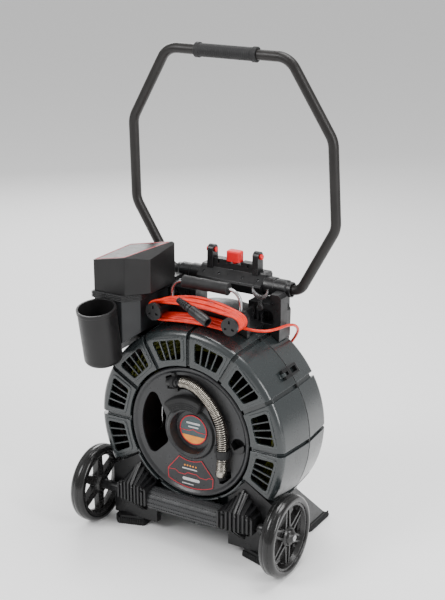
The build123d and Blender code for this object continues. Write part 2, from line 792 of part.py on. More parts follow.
with BuildPart() as dock_body:
    with BuildSketch(side_plane(-dock_half)):
        Polygon(*dock_section, align=None)
    extrude(amount=2 * dock_half)
    for side in (-1, 1):
        turn_about_pivot([(side * 88, 10), (side * 88, 24), (side * 120, 24), (side * 122, 22), (side * 152, 22),
                          (side * 156, 19.5), (side * 165, 19), (side * 165, 10)])
    # the rail between the docking posts
    with BuildSketch(side_plane(-(post_x - 8))):
        Polygon((212, 660), (214, 686), (236, 686), (238, 660), align=None)
    extrude(amount=2 * (post_x - 8))
    # the tunnel for the hoop handle's lower ends
    with BuildSketch(side_plane(-170)):
        with Locations((pivot_y, pivot_z)):
            Circle(16)
    extrude(amount=340, mode=Mode.SUBTRACT)
    # four screw pockets along the front slope
    with BuildSketch(Plane(origin=(0, 190, 644.7), x_dir=(1, 0, 0), z_dir=(0, -0.643, 0.766))):
        with Locations((-78, 12), (-34, 12), (34, 12), (78, 12)):
            SlotOverall(9, 6, rotation=90)
    extrude(amount=-4, mode=Mode.SUBTRACT)
    # seats for the docking posts
    with BuildSketch(Plane.XY.offset(660)):
        with Locations((-post_x, post_y), (post_x, post_y)):
            Rectangle(16, 28)
    extrude(amount=30, mode=Mode.SUBTRACT)
    # two holes through the rail and the well of the release button
    with BuildSketch(floor_plane(260)):
        with Locations((-42, 678), (42, 678)):
            Circle(3.5)
    extrude(amount=60, mode=Mode.SUBTRACT)
    with BuildSketch(Plane.XY.offset(679)):
        with Locations((0, post_y)):
            Rectangle(42, 60)
    extrude(amount=10, mode=Mode.SUBTRACT)
    with BuildSketch(Plane.XY.offset(669)):
        with Locations((0, post_y)):
            Circle(6)
    extrude(amount=12, mode=Mode.SUBTRACT)
save(dock_body, "dock_body")

with BuildPart() as release_button:
    with BuildSketch(Plane.XY.offset(684.5)):
        with Locations((0, post_y)):
            RectangleRounded(40, 26, 8)
    extrude(amount=27)
    fillet(release_button.edges().group_by(Axis.Z)[-1], 4)
    with BuildSketch(Plane.XY.offset(674.5)):
        with Locations((0, post_y)):
            Circle(6 - running_gap)
    extrude(amount=11)
save(release_button, "release_button")


def make_post(side):
    """A docking post with a round head and a stepped bore for its latch pin."""
    with BuildPart() as post:
        with BuildSketch(side_plane(side * post_x)):
            Polygon((post_y - 14, 660), (post_y + 14, 660), (post_y + 13, post_head_z), (post_y - 13, post_head_z),
                    align=None)
            with Locations((post_y, post_head_z)):
                Circle(13)
        extrude(amount=7.9, both=True)
        with BuildSketch(side_plane(side * post_x)):
            with Locations((post_y, post_head_z)):
                Circle(5 + running_gap)
        extrude(amount=20, both=True, mode=Mode.SUBTRACT)
        with BuildSketch(side_plane(side * (post_x - 1.5))):
            with Locations((post_y, post_head_z)):
                Circle(7)
        extrude(amount=side * 20, mode=Mode.SUBTRACT)
    return post


def make_post_pin(side):
    """A latch pin through the post: a button outside and a nose inside."""
    with BuildPart() as pin:
        with BuildSketch(side_plane(side * (post_x - 12))):
            with Locations((post_y, post_head_z)):
                Circle(5)
        extrude(amount=side * 18)
        with BuildSketch(side_plane(side * (post_x + 4))):
            with Locations((post_y, post_head_z)):
                Circle(6.5)
        extrude(amount=side * 10)
        with BuildSketch(side_plane(side * (post_x - 9.4))):
            with Locations((post_y, post_head_z)):
                Circle(6.5)
        extrude(amount=side * -2.6)
    return pin


for side, hand in ((-1, "left"), (1, "right")):
    save(make_post(side), f"dock_post_{hand}")
    save(make_post_pin(side), f"post_pin_{hand}")

with BuildPart() as handle_bushes:
    for side in (-1, 1):
        with BuildSketch(side_plane(side * 112)):
            with Locations((pivot_y, pivot_z)):
                Circle(16)
                Circle(tube_r + running_gap, mode=Mode.SUBTRACT)
        extrude(amount=side * 36)
save(handle_bushes, "handle_bushes")

with BuildPart() as rear_struts:
    for side in (-1, 1):
        with BuildSketch(floor_plane(234)):
            Polygon((side * 124, 628), (side * 150, 628), (side * 150, 500), (side * 140, 500), align=None)
        extrude(amount=12)
    with BuildSketch(side_plane(-170)):
        with Locations((pivot_y, pivot_z)):
            Circle(22)
    extrude(amount=340, mode=Mode.SUBTRACT)
save(rear_struts, "rear_struts")

# ---- the hoop handle ----
hoop_lean = 0.07


def hoop_point(x, z):
    """A point of the hoop, which leans forward a little above its pivot."""
    return (x, pivot_y - hoop_lean * (z - pivot_z), z)


hoop_half = [hoop_point(185, pivot_z), hoop_point(283, 810), hoop_point(277, 1022), hoop_point(166, 1206)]
hoop_route = [hoop_point(60, pivot_z)] + hoop_half
hoop_route += [(-x, y, z) for x, y, z in reversed(hoop_half)] + [hoop_point(-60, pivot_z)]
handle_tube, hoop_length = tube_along(hoop_route, (34, 60, 60, 52, 52, 60, 60, 34), tube_r)
save(handle_tube, "handle_tube")

with BuildPart() as handle_grip:
    grip_y = hoop_point(0, 1206)[1]
    with BuildSketch(side_plane(-84)):
        with Locations((grip_y, 1206)):
            Circle(16)
            Circle(tube_r, mode=Mode.SUBTRACT)
    extrude(amount=168)
    for start in (-84, 72):
        with BuildSketch(side_plane(start)):
            with Locations((grip_y, 1206)):
                Circle(18.5)
                Circle(tube_r, mode=Mode.SUBTRACT)
        extrude(amount=12)
    fillet(handle_grip.edges().filter_by(GeomType.CIRCLE).sort_by(SortBy.RADIUS)[-4:], 2)
save(handle_grip, "handle_grip")

# ---- lock knob and lever ----
knob_x = -151.0
knob_z = 622.0
lever_x = 112.0
lever_z = 603.0
with BuildPart() as lock_knob:
    with BuildSketch(floor_plane(156)):
        with Locations((knob_x, knob_z)):
            RegularPolygon(14, 12)
    extrude(amount=13)
    with BuildSketch(floor_plane(upright_front - 0.3)):
        with Locations((knob_x, knob_z)):
            Circle(6)
    extrude(amount=2)
save(lock_knob, "lock_knob")

with BuildPart() as lock_lever:
    with BuildSketch(floor_plane(155)):
        with Locations((lever_x, lever_z)):
            Circle(8)
        with Locations((lever_x, lever_z + 12)):
            Rectangle(9, 24)
    extrude(amount=6)
    with BuildSketch(floor_plane(155)) as crescent:
        with Locations((lever_x, lever_z + 42)):
            Circle(22)
        with Locations((lever_x, lever_z + 52)):
            Circle(21, mode=Mode.SUBTRACT)
    extrude(amount=6)
    with BuildSketch(floor_plane(upright_front - 0.3)):
        with Locations((lever_x, lever_z)):
            Circle(5)
    extrude(amount=4)
save(lock_lever, "lock_lever")

# ---- storage bin, lid and cup ----
body_outline = [(-258, -22), (-176, -22), (-144, 14), (-144, 138), (-258, 138)]
lid_outline = [(-258, -22), (-165, -22), (-122, 28), (-122, 138), (-258, 138)]
hinge_x = -266.0
hinge_r = 3.0


def grown(points, amount):
    """An anticlockwise outline with every side moved outward."""
    moved = []
    for before, corner, after in zip(points[-1:] + points[:-1], points, points[1:] + points[:1]):
        way_in = math.atan2(corner[1] - before[1], corner[0] - before[0])
        way_out = math.atan2(after[1] - corner[1], after[0] - corner[0])
        middle = (way_in + math.remainder(way_out - way_in, 2 * math.pi) / 2) - math.pi / 2
        reach = amount / math.cos(math.remainder(way_out - way_in, 2 * math.pi) / 2)
        moved.append((corner[0] + reach * math.cos(middle), corner[1] + reach * math.sin(middle)))
    return moved


cup_r = 49.0
cup_x = -213.0
cup_foot = Vector(cup_x, -49, 467)
cup_way = Vector(0, -26, 145).normalized()
cup_length = 147.0
cup_plane = Plane(origin=cup_foot, x_dir=(1, 0, 0), z_dir=cup_way)

with BuildPart() as bin_hollow:
    with BuildSketch(Plane.XY.offset(bin_floor_z + wall)):
        Polygon(*grown(body_outline, -wall), align=None)
    extrude(amount=260)
    with BuildSketch(front_plane(300)):
        Circle(case_seam_r + wall)
    extrude(amount=400, mode=Mode.SUBTRACT)
    with BuildSketch(cup_plane.offset(-60)):
        Circle(cup_r + wall)
    extrude(amount=220, mode=Mode.SUBTRACT)

with BuildPart() as storage_bin:
    with BuildSketch(Plane.XY.offset(bin_floor_z)) as bin_base:
        Polygon(*body_outline, align=None)
        fillet(bin_base.vertices(), 5)
    extrude(amount=bin_top_z - bin_floor_z)
    with BuildSketch(front_plane(300)):
        Circle(case_seam_r)
    extrude(amount=400, mode=Mode.SUBTRACT)
    add(bin_hollow.part, mode=Mode.SUBTRACT)
    # the hollow in the front wall where the cup stands
    with BuildSketch(cup_plane.offset(-60)):
        Circle(cup_r)
    extrude(amount=220, mode=Mode.SUBTRACT)
save(storage_bin, "storage_bin")

with BuildPart() as bin_rim:
    with BuildSketch(Plane.XY.offset(bin_top_z)) as rim_outline:
        Polygon(*grown(body_outline, 3), align=None)
        fillet(rim_outline.vertices(), 6)
    extrude(amount=lid_z - 0.5 - bin_top_z)
    with BuildSketch(Plane.XY.offset(bin_top_z)):
        Polygon(*grown(body_outline, -wall), align=None)
    extrude(amount=40, mode=Mode.SUBTRACT)
    with BuildSketch(floor_plane(90)):
        with Locations((hinge_x, lid_z)):
            Circle(10.5)
    extrude(amount=64, mode=Mode.SUBTRACT)
    with BuildSketch(Plane.XY.offset(620)):
        with Locations((hinge_x, 10), (hinge_x, 106)):
            Rectangle(11, 20)
    extrude(amount=18)
    with BuildSketch(floor_plane(130)):
        with Locations((hinge_x, lid_z)):
            Circle(hinge_r)
    extrude(amount=160, mode=Mode.SUBTRACT)
save(bin_rim, "bin_rim")

lid_slope = 0.2


def lid_top(drop):
    """The plane of the lid's sloping top, higher inboard, `drop` lower."""
    return Plane(origin=(-165, 0, 730 - drop), x_dir=(1, 0, lid_slope), z_dir=(-lid_slope, 0, 1))


bevel_points = [Vector(-165, -22, 730), Vector(-137, 112, 735.6), Vector(-122, 28, 720)]
bevel_normal = (bevel_points[2] - bevel_points[0]).cross(bevel_points[1] - bevel_points[0]).normalized()
with BuildPart() as lid_hollow:
    with BuildSketch(Plane.XY.offset(lid_z - 2)):
        Polygon(*grown(lid_outline, -wall), align=None)
    extrude(amount=160)
    split(bisect_by=lid_top(wall), keep=Keep.BOTTOM)
    split(bisect_by=Plane(origin=bevel_points[0] - bevel_normal * wall, z_dir=bevel_normal), keep=Keep.BOTTOM)

with BuildPart() as bin_lid:
    with BuildSketch(Plane.XY.offset(lid_z)) as lid_base:
        Polygon(*lid_outline, align=None)
        fillet(lid_base.vertices(), 5)
    extrude(amount=150)
    split(bisect_by=lid_top(0), keep=Keep.BOTTOM)
    split(bisect_by=Plane(origin=bevel_points[0], z_dir=bevel_normal), keep=Keep.BOTTOM)
    add(lid_hollow.part, mode=Mode.SUBTRACT)
    # the hinge knuckle
    with BuildSketch(floor_plane(88)):
        with Locations((hinge_x, lid_z)):
            Circle(6)
        with Locations((hinge_x + 5, lid_z + 3)):
            Rectangle(10, 6)
    extrude(amount=60)
    with BuildSketch(floor_plane(130)):
        with Locations((hinge_x, lid_z)):
            Circle(hinge_r + running_gap)
    extrude(amount=160, mode=Mode.SUBTRACT)
save(bin_lid, "bin_lid")

with BuildPart() as lid_hinge_pin:
    with BuildSketch(floor_plane(120)):
        with Locations((hinge_x, lid_z)):
            Circle(hinge_r)
    extrude(amount=124)
save(lid_hinge_pin, "lid_hinge_pin")

with BuildPart() as cup:
    with BuildSketch(cup_plane):
        Circle(cup_r - 1.5)
    extrude(amount=cup_length)
    fillet(cup.edges().filter_by(GeomType.CIRCLE).group_by(Axis.Z)[0], 12)
    with BuildSketch(cup_plane.offset(cup_length - 9)):
        Circle(cup_r)
    extrude(amount=9)
    # a bracket back to the bin
    with BuildSketch(floor_plane(-22)):
        with Locations((cup_x, 588)):
            Rectangle(50, 40)
    extrude(amount=26)
    with BuildSketch(cup_plane.offset(4)):
        Circle(cup_r - 5)
    extrude(amount=200, mode=Mode.SUBTRACT)
save(cup, "cup")


# ---- latches on the seam ----
def make_latch(angle):
    """A strap over the seam, forked round its lug on the front shell and swinging on a pin through it."""
    with BuildPart() as latch:
        with BuildSketch(radial_plane(angle)):
            Polygon((79, 273.2), (79, 280), (100, 284), (138, 284), (147, 279), (147, 274.6), (100, 274.6),
                    (92, 273.2), align=None)
        extrude(amount=13, both=True)
        with BuildSketch(radial_plane(angle)):
            Polygon((70, 265), (95, 265), (95, 290), (70, 290), align=None)
        extrude(amount=4.6, both=True, mode=Mode.SUBTRACT)
        with BuildSketch(radial_plane(angle)):
            Polygon((106, 270), (132, 270), (132, 290), (106, 290), align=None)
        extrude(amount=7, both=True, mode=Mode.SUBTRACT)
        with BuildSketch(radial_plane(angle)):
            with Locations((latch_pin_y, latch_pin_r)):
                Circle(2.5)
        extrude(amount=13, both=True)
    return latch


for angle, hand in zip(latch_angles, ("left", "right")):
    save(make_latch(angle), f"latch_{hand}")

# ---- system cable ----
coil_front = 25.0
coil_back = 74.0


def coil_loop(end_r, top, foot):
    """A loop round both wraps: half circles at the ends, bowed runs over and under."""
    with BuildLine() as loop:
        ThreePointArc((-wrap_x, wrap_z + end_r), (-wrap_x - end_r, wrap_z), (-wrap_x, wrap_z - end_r))
        ThreePointArc((-wrap_x, wrap_z - end_r), (0, foot), (wrap_x, wrap_z - end_r))
        ThreePointArc((wrap_x, wrap_z - end_r), (wrap_x + end_r, wrap_z), (wrap_x, wrap_z + end_r))
        ThreePointArc((wrap_x, wrap_z + end_r), (0, top), (-wrap_x, wrap_z + end_r))
    return loop.edges()


with BuildPart() as cable_coil:
    with BuildSketch(floor_plane(coil_back)):
        make_face(coil_loop(wrap_r + 17, 640, 572))
        make_face(coil_loop(wrap_r, 621, 588), mode=Mode.SUBTRACT)
    extrude(amount=coil_back - coil_front)
save(cable_coil, "cable_coil")

connector_start = Vector(-41, 22, 634)
connector_way = (Vector(57, -2, 602) - connector_start).normalized()
connector_sections = [(0, 5.5), (6, 8.5), (40, 9.5), (46, 12), (100, 12.5), (107, 11.5)]
with BuildPart() as cable_connector:
    for (start, _), (end, radius) in zip(connector_sections, connector_sections[1:]):
        with BuildSketch(Plane(origin=connector_start + connector_way * start, z_dir=connector_way)):
            Circle(radius)
        extrude(amount=end - start)
    with BuildSketch(Plane(origin=connector_start + connector_way * 107, z_dir=connector_way)):
        Circle(9)
    extrude(amount=-12, mode=Mode.SUBTRACT)
save(cable_connector, "cable_connector")

cable_route = [(107, 70.2, 575), (136, 72, 573), (163, 88, 570), (178, 120, 569), (182, 160, 567),
               (184, 200, 557), (178, 233, 531), (152, 247, 492), (118, 249, 450), (84, 248, 408),
               (60, 246, 373.5)]
cable_radii = bend_radii(cable_route)
system_cable, cable_run = tube_along(cable_route, cable_radii, cable_d / 2)
save(system_cable, "system_cable")

gland_start = Vector(*cable_route[-1])
gland_way = (Vector(*cable_route[-1]) - Vector(*cable_route[-2])).normalized()
with BuildPart() as cable_gland:
    for start, length, radius in ((0, 12, 5), (12, 10, 6.5), (22, 18, 9)):
        with BuildSketch(Plane(origin=gland_start + gland_way * start, z_dir=gland_way)):
            Circle(radius)
        extrude(amount=length)
    add(slip_ring_housing.part, mode=Mode.SUBTRACT)
save(cable_gland, "cable_gland")

print("hoop tube", round(hoop_length), "carry tube", round(carry_length), "hose", round(hose_length))
print("system cable run", round(cable_run), "bend radii", [round(radius) for radius in cable_radii])
print("hose bend radii", [round(radius) for radius in bend_radii(hose_route)])
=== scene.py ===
"""The looks of the wheeled pipe-inspection cable reel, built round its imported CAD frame.

Lengths are in millimetres in the CAD model's own layout (X = 0 the middle of the case, Y = 0 its
front face, Z = 0 the floor); at() turns them into the row frame's metres.
"""
import math
import random

import bmesh
import bpy
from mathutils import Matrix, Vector


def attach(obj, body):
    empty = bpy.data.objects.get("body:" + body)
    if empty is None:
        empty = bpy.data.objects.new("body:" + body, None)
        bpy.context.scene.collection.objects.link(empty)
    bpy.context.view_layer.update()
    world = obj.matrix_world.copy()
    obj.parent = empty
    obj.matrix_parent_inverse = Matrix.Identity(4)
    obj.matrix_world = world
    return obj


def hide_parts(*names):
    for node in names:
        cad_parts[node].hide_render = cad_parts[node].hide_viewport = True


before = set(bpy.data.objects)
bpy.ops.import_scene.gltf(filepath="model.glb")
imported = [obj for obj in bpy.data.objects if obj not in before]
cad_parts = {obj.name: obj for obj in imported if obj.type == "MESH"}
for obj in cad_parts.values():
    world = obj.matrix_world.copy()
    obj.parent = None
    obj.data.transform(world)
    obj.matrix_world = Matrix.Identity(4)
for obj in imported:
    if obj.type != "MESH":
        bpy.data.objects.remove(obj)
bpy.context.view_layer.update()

MID_Y = 92.94
DRUM_Z = 302.0
PLATE_FACE = 8.0
AXLE_Y = -6.0
AXLE_Z = 101.5
WHEEL_X = 274.0
WRAP_X = 107.0
WRAP_Z = 594.0
PIVOT_Y = 220.0
PIVOT_Z = 637.0
random.seed(7)


def at(x, y, z):
    """A point of the CAD layout, in the row frame."""
    return Vector((x / 1000, (y - MID_Y) / 1000, z / 1000))


def on_drum(x, height, depth):
    """A point given by its place on the drum's front."""
    return at(x, depth, DRUM_Z + height)


def clock(radius, angle, depth):
    """A point at a radius and clock angle about the drum's axis."""
    turn = math.radians(angle)
    return at(radius * math.sin(turn), depth, DRUM_Z + radius * math.cos(turn))


# ---- camera and light ----
def aim(obj, target):
    obj.rotation_mode = "QUATERNION"
    obj.rotation_quaternion = (target - obj.location).to_track_quat("-Z", "Y")


def add_camera():
    data = bpy.data.cameras.new("view")
    data.lens = 78.3
    data.sensor_width = 36.0
    camera = bpy.data.objects.new("view", data)
    bpy.context.scene.collection.objects.link(camera)
    target = at(32.4, 107.5, 620.7)
    azimuth, elevation = math.radians(30.93), math.radians(18.92)
    back = Vector((math.sin(azimuth) * math.cos(elevation), -math.cos(azimuth) * math.cos(elevation),
                   math.sin(elevation)))
    camera.location = target + back * 3.163
    aim(camera, target)
    bpy.context.scene.camera = camera


def add_area(name, place, target, size, power):
    data = bpy.data.lights.new(name, "AREA")
    data.shape = "RECTANGLE"
    data.size, data.size_y = size
    data.energy = power
    light = bpy.data.objects.new(name, data)
    bpy.context.scene.collection.objects.link(light)
    light.location = place
    aim(light, target)


def add_stage():
    middle = Vector((0, 0, 0.5))
    add_area("key", Vector((-1.6, -2.6, 2.9)), middle, (1.4, 1.8), 95)
    add_area("side", Vector((3.0, -0.6, 1.7)), middle, (0.8, 2.4), 80)
    add_area("top", Vector((0.3, 0.6, 3.4)), middle, (2.0, 1.4), 95)
    add_area("rim", Vector((-2.2, 2.4, 1.9)), middle, (1.4, 1.8), 45)
    world = bpy.data.worlds.new("studio")
    world.use_nodes = True
    world.node_tree.nodes["Background"].inputs[0].default_value = (1, 1, 1, 1)
    world.node_tree.nodes["Background"].inputs[1].default_value = 0.72
    bpy.context.scene.world = world
    mesh = bpy.data.meshes.new("floor")
    reach = 14.0
    mesh.from_pydata([(-reach, -reach, 0), (reach, -reach, 0), (reach, reach, 0), (-reach, reach, 0)], [],
                     [(0, 1, 2, 3)])
    floor = bpy.data.objects.new("floor", mesh)
    bpy.context.scene.collection.objects.link(floor)
    paper = bpy.data.materials.new("paper")
    paper.use_nodes = True
    shader = paper.node_tree.nodes["Principled BSDF"]
    shader.inputs["Base Color"].default_value = (0.97, 0.97, 0.97, 1)
    shader.inputs["Roughness"].default_value = 0.7
    mesh.materials.append(paper)


add_camera()
add_stage()


# ---- materials ----
def surface(name, base, second, rough=(0.35, 0.5), metallic=0.0, mottle=18.0, grain=1300.0, grain_height=0.25,
            edge=0.0012, edge_wear_and_highlight=None, coat=0.0, specular=0.3):
    """A moulded or painted finish: mottled colour, varying roughness, fine grain, softened edges, lightened partly
    as wear and partly as a painted highlight.
    """
    material = bpy.data.materials.new(name)
    material.use_nodes = True
    nodes, links = material.node_tree.nodes, material.node_tree.links
    shader = nodes["Principled BSDF"]
    shader.inputs["Metallic"].default_value = metallic
    shader.inputs["Coat Weight"].default_value = coat
    shader.inputs["Coat Roughness"].default_value = 0.12
    shader.inputs["Specular IOR Level"].default_value = 0.5 if metallic > 0.5 else specular
    place = nodes.new("ShaderNodeTexCoord")

    def noise(scale, detail):
        node = nodes.new("ShaderNodeTexNoise")
        node.inputs["Scale"].default_value = scale
        node.inputs["Detail"].default_value = detail
        links.new(place.outputs["Object"], node.inputs["Vector"])
        return node

    mottling = noise(mottle, 5)
    blend = nodes.new("ShaderNodeMix")
    blend.data_type = "RGBA"
    blend.inputs[6].default_value = (*base, 1)
    blend.inputs[7].default_value = (*second, 1)
    spread = nodes.new("ShaderNodeMapRange")
    spread.inputs["From Min"].default_value = 0.35
    spread.inputs["From Max"].default_value = 0.65
    links.new(mottling.outputs["Fac"], spread.inputs["Value"])
    links.new(spread.outputs["Result"], blend.inputs[0])
    colour = blend.outputs[2]
    gloss = nodes.new("ShaderNodeMapRange")
    gloss.inputs["From Min"].default_value = 0.3
    gloss.inputs["From Max"].default_value = 0.7
    gloss.inputs["To Min"].default_value, gloss.inputs["To Max"].default_value = rough
    links.new(noise(mottle * 4, 3).outputs["Fac"], gloss.inputs["Value"])
    links.new(gloss.outputs["Result"], shader.inputs["Roughness"])
    bump = nodes.new("ShaderNodeBump")
    bump.inputs["Strength"].default_value = grain_height
    bump.inputs["Distance"].default_value = 0.0004
    links.new(noise(grain, 2).outputs["Fac"], bump.inputs["Height"])
    if edge:
        soft = nodes.new("ShaderNodeBevel")
        soft.samples = 4
        soft.inputs["Radius"].default_value = edge
        links.new(soft.outputs["Normal"], bump.inputs["Normal"])
        # Lighten the edges towards a paler colour: partly wear, partly a painted highlight along the edges.
        if edge_wear_and_highlight:
            facing = nodes.new("ShaderNodeNewGeometry")
            dot = nodes.new("ShaderNodeVectorMath")
            dot.operation = "DOT_PRODUCT"
            links.new(soft.outputs["Normal"], dot.inputs[0])
            links.new(facing.outputs["True Normal"], dot.inputs[1])
            wear_and_highlight_mask = nodes.new("ShaderNodeMapRange")
            wear_and_highlight_mask.inputs["From Min"].default_value = 0.995
            wear_and_highlight_mask.inputs["From Max"].default_value = 0.85
            wear_and_highlight_mask.inputs["To Max"].default_value = 0.8
            links.new(dot.outputs["Value"], wear_and_highlight_mask.inputs["Value"])
            wear_and_highlight_mix = nodes.new("ShaderNodeMix")
            wear_and_highlight_mix.data_type = "RGBA"
            wear_and_highlight_mix.inputs[7].default_value = (*edge_wear_and_highlight, 1)
            links.new(wear_and_highlight_mask.outputs["Result"], wear_and_highlight_mix.inputs[0])
            links.new(colour, wear_and_highlight_mix.inputs[6])
            colour = wear_and_highlight_mix.outputs[2]
    links.new(colour, shader.inputs["Base Color"])
    links.new(bump.outputs["Normal"], shader.inputs["Normal"])
    return material


# The edge colour given to these finishes lightens their edges: partly wear, partly a painted highlight.
CASE = surface("case_shell", (0.019, 0.0235, 0.0245), (0.015, 0.0185, 0.0195), (0.2, 0.3), mottle=9, grain=900,
               grain_height=0.1, edge=0.003, edge_wear_and_highlight=(0.055, 0.064, 0.067), specular=0.5, coat=0.25)
PLATE = surface("drum_plate", (0.017, 0.0175, 0.019), (0.013, 0.0135, 0.0145), (0.26, 0.38), grain=1100, edge=0.002,
                edge_wear_and_highlight=(0.04, 0.041, 0.045), specular=0.45)
BLACK = surface("black_plastic", (0.006, 0.006, 0.0065), (0.009, 0.009, 0.0095), (0.26, 0.42), edge=0.0014,
                edge_wear_and_highlight=(0.028, 0.028, 0.03), specular=0.4)
DARK = surface("inner_plastic", (0.009, 0.008, 0.008), (0.02, 0.011, 0.010), (0.45, 0.65), edge=0.001)
HANDLE = surface("handle_coat", (0.010, 0.009, 0.0085), (0.014, 0.0125, 0.0118), (0.3, 0.42), grain=2600,
                 grain_height=0.35, edge=0)
STEEL = surface("satin_steel", (0.5, 0.5, 0.5), (0.36, 0.36, 0.37), (0.22, 0.36), metallic=1.0, mottle=60,
                grain=2400, grain_height=0.2, edge=0.0006)
HOSE = surface("hose_steel", (0.40, 0.37, 0.32), (0.22, 0.205, 0.18), (0.16, 0.28), metallic=1.0, mottle=90,
               grain=3000, grain_height=0.3, edge=0)
GRIP = surface("grip_rubber", (0.007, 0.007, 0.0075), (0.011, 0.011, 0.0115), (0.5, 0.68), grain=1800,
               grain_height=0.5, edge=0.001, edge_wear_and_highlight=(0.025, 0.025, 0.026), specular=0.35)
BAR = surface("bar_rubber", (0.030, 0.031, 0.033), (0.022, 0.023, 0.024), (0.4, 0.55), grain=1600, edge=0.001,
              edge_wear_and_highlight=(0.05, 0.052, 0.055), specular=0.5)
TYRE = surface("tyre_rubber", (0.005, 0.005, 0.005), (0.008, 0.0075, 0.0075), (0.16, 0.28), mottle=30, grain=900,
               grain_height=0.15, edge=0.001, coat=0.25)
WHEEL = surface("wheel_plastic", (0.007, 0.0065, 0.0065), (0.011, 0.0105, 0.0105), (0.2, 0.32), edge=0.002,
                edge_wear_and_highlight=(0.03, 0.03, 0.032), specular=0.5)
RED = surface("red_plastic", (0.78, 0.010, 0.016), (0.66, 0.007, 0.012), (0.28, 0.4), edge=0.0012,
              edge_wear_and_highlight=(0.85, 0.03, 0.03))
CABLE = surface("cable_jacket", (0.82, 0.034, 0.010), (0.58, 0.018, 0.006), (0.28, 0.4), mottle=45, grain=1700,
                grain_height=0.2, edge=0, specular=0.35)
# The push cable's own olive yellow, darkened as painted shade for its place deep inside the drum.
PUSH_ROD_PAINTED_SHADE = surface("push_rod", (0.16, 0.175, 0.012), (0.09, 0.10, 0.008), (0.25, 0.4), mottle=40, edge=0)
BADGE = surface("badge", (0.012, 0.034, 0.038), (0.018, 0.044, 0.049), (0.2, 0.3), mottle=40, edge=0.0006, coat=0.5)
ORANGE = surface("badge_orange", (0.85, 0.30, 0.03), (0.72, 0.24, 0.02), (0.22, 0.32), mottle=60, edge=0.0004)
LABEL = surface("label", (0.020, 0.020, 0.0215), (0.026, 0.026, 0.028), (0.26, 0.36), mottle=40, edge=0.0006)
OUTLINE = surface("outline_red", (0.55, 0.015, 0.03), (0.45, 0.012, 0.022), (0.3, 0.4), mottle=60, edge=0)
PALE = surface("label_pale", (0.55, 0.55, 0.55), (0.45, 0.45, 0.46), (0.35, 0.45), mottle=80, edge=0)
LID = surface("lid_plastic", (0.0085, 0.0082, 0.0085), (0.012, 0.0115, 0.0118), (0.28, 0.4), grain=1000,
              grain_height=0.4, edge=0.0022, edge_wear_and_highlight=(0.026, 0.026, 0.027), specular=0.28)
BIN = surface("bin_plastic", (0.012, 0.0128, 0.0142), (0.017, 0.018, 0.0195), (0.34, 0.48), grain=1000,
              grain_height=0.5, edge=0.0022, edge_wear_and_highlight=(0.034, 0.035, 0.038), specular=0.4)
SCREW = surface("screw_steel", (0.05, 0.05, 0.052), (0.09, 0.09, 0.09), (0.25, 0.4), metallic=0.9, mottle=90,
                edge=0.0003)
LENS = surface("lens", (0.01, 0.012, 0.02), (0.02, 0.02, 0.035), (0.03, 0.06), mottle=50, edge=0, coat=1.0)

NODE_FINISH = {
    "front_case": CASE, "rear_case": CASE, "case_seal": GRIP, "top_bridge": BLACK, "dock_body": BLACK,
    "dock_post_left": BLACK, "dock_post_right": BLACK, "release_button": RED, "post_pin_left": RED,
    "post_pin_right": RED, "handle_bushes": BLACK, "handle_tube": HANDLE, "rear_struts": BLACK,
    "carry_tube": STEEL, "cord_wraps": BLACK, "storage_bin": BIN, "bin_rim": BLACK, "bin_lid": LID,
    "lid_hinge_pin": STEEL, "cup": LID, "side_frame_left": BLACK, "side_frame_right": BLACK,
    "bumper_left": BLACK, "bumper_right": BLACK, "front_bar": BAR, "rear_bar": BLACK, "axle": BLACK,
    "front_feet": GRIP, "rear_feet": GRIP, "wheel_left": WHEEL, "wheel_right": WHEEL, "hub_cap_left": WHEEL,
    "hub_cap_right": WHEEL, "drum_front_plate": PLATE, "drum_basket": DARK, "drum_shaft": STEEL,
    "rear_bearing": STEEL, "slip_ring": STEEL, "slip_ring_housing": BLACK, "cable_gland": BLACK,
    "camera_trough": DARK, "thumb_cup": BLACK, "camera_head": BLACK, "camera_clips": GRIP, "lock_knob": BLACK,
    "lock_lever": STEEL, "latch_left": BLACK, "latch_right": BLACK,
}


def smooth(mesh, angle=38):
    """Smooth shading that keeps edges sharper than an angle."""
    mesh.polygons.foreach_set("use_smooth", [True] * len(mesh.polygons))
    mesh.set_sharp_from_angle(angle=math.radians(angle))


for node, material in NODE_FINISH.items():
    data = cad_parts[node].data
    data.materials.clear()
    data.materials.append(material)
    smooth(data)


# ---- making pieces ----
def finish_piece(name, mesh, material, body, angle=38):
    """Put a mesh in the scene with its material, on its body."""
    mesh.materials.append(material)
    smooth(mesh, angle)
    piece = bpy.data.objects.new(name, mesh)
    bpy.context.scene.collection.objects.link(piece)
    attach(piece, body)
    return piece


def add_rings(shape, rings, close_path, caps):
    """Skin a list of rings of vertex positions."""
    loops = [[shape.verts.new(point) for point in ring] for ring in rings]
    pairs = list(zip(loops, loops[1:] + loops[:1] if close_path else loops[1:]))
    for first, second in pairs:
        for side in range(len(first)):
            after = (side + 1) % len(first)
            shape.faces.new((first[side], first[after], second[after], second[side]))
    if caps and not close_path:
        shape.faces.new(loops[0][::-1])
        shape.faces.new(loops[-1])


def basis(way):
    """Two directions square to `way`."""
    way = way.normalized()
    first = way.cross(Vector((0, 0, 1)) if abs(way.z) < 0.9 else Vector((1, 0, 0))).normalized()
    return first, way.cross(first)


def add_lathe(shape, origin, way, profile, segments=64, closed=False):
    """Turn (along, radius) points in millimetres about an axis."""
    way = way.normalized()
    first, second = basis(way)
    rings = []
    for along, radius in profile:
        centre = origin + way * (along / 1000)
        rings.append([centre + (first * math.cos(math.tau * step / segments)
                                + second * math.sin(math.tau * step / segments)) * (max(radius, 0.01) / 1000)
                      for step in range(segments)])
    add_rings(shape, rings, closed, True)


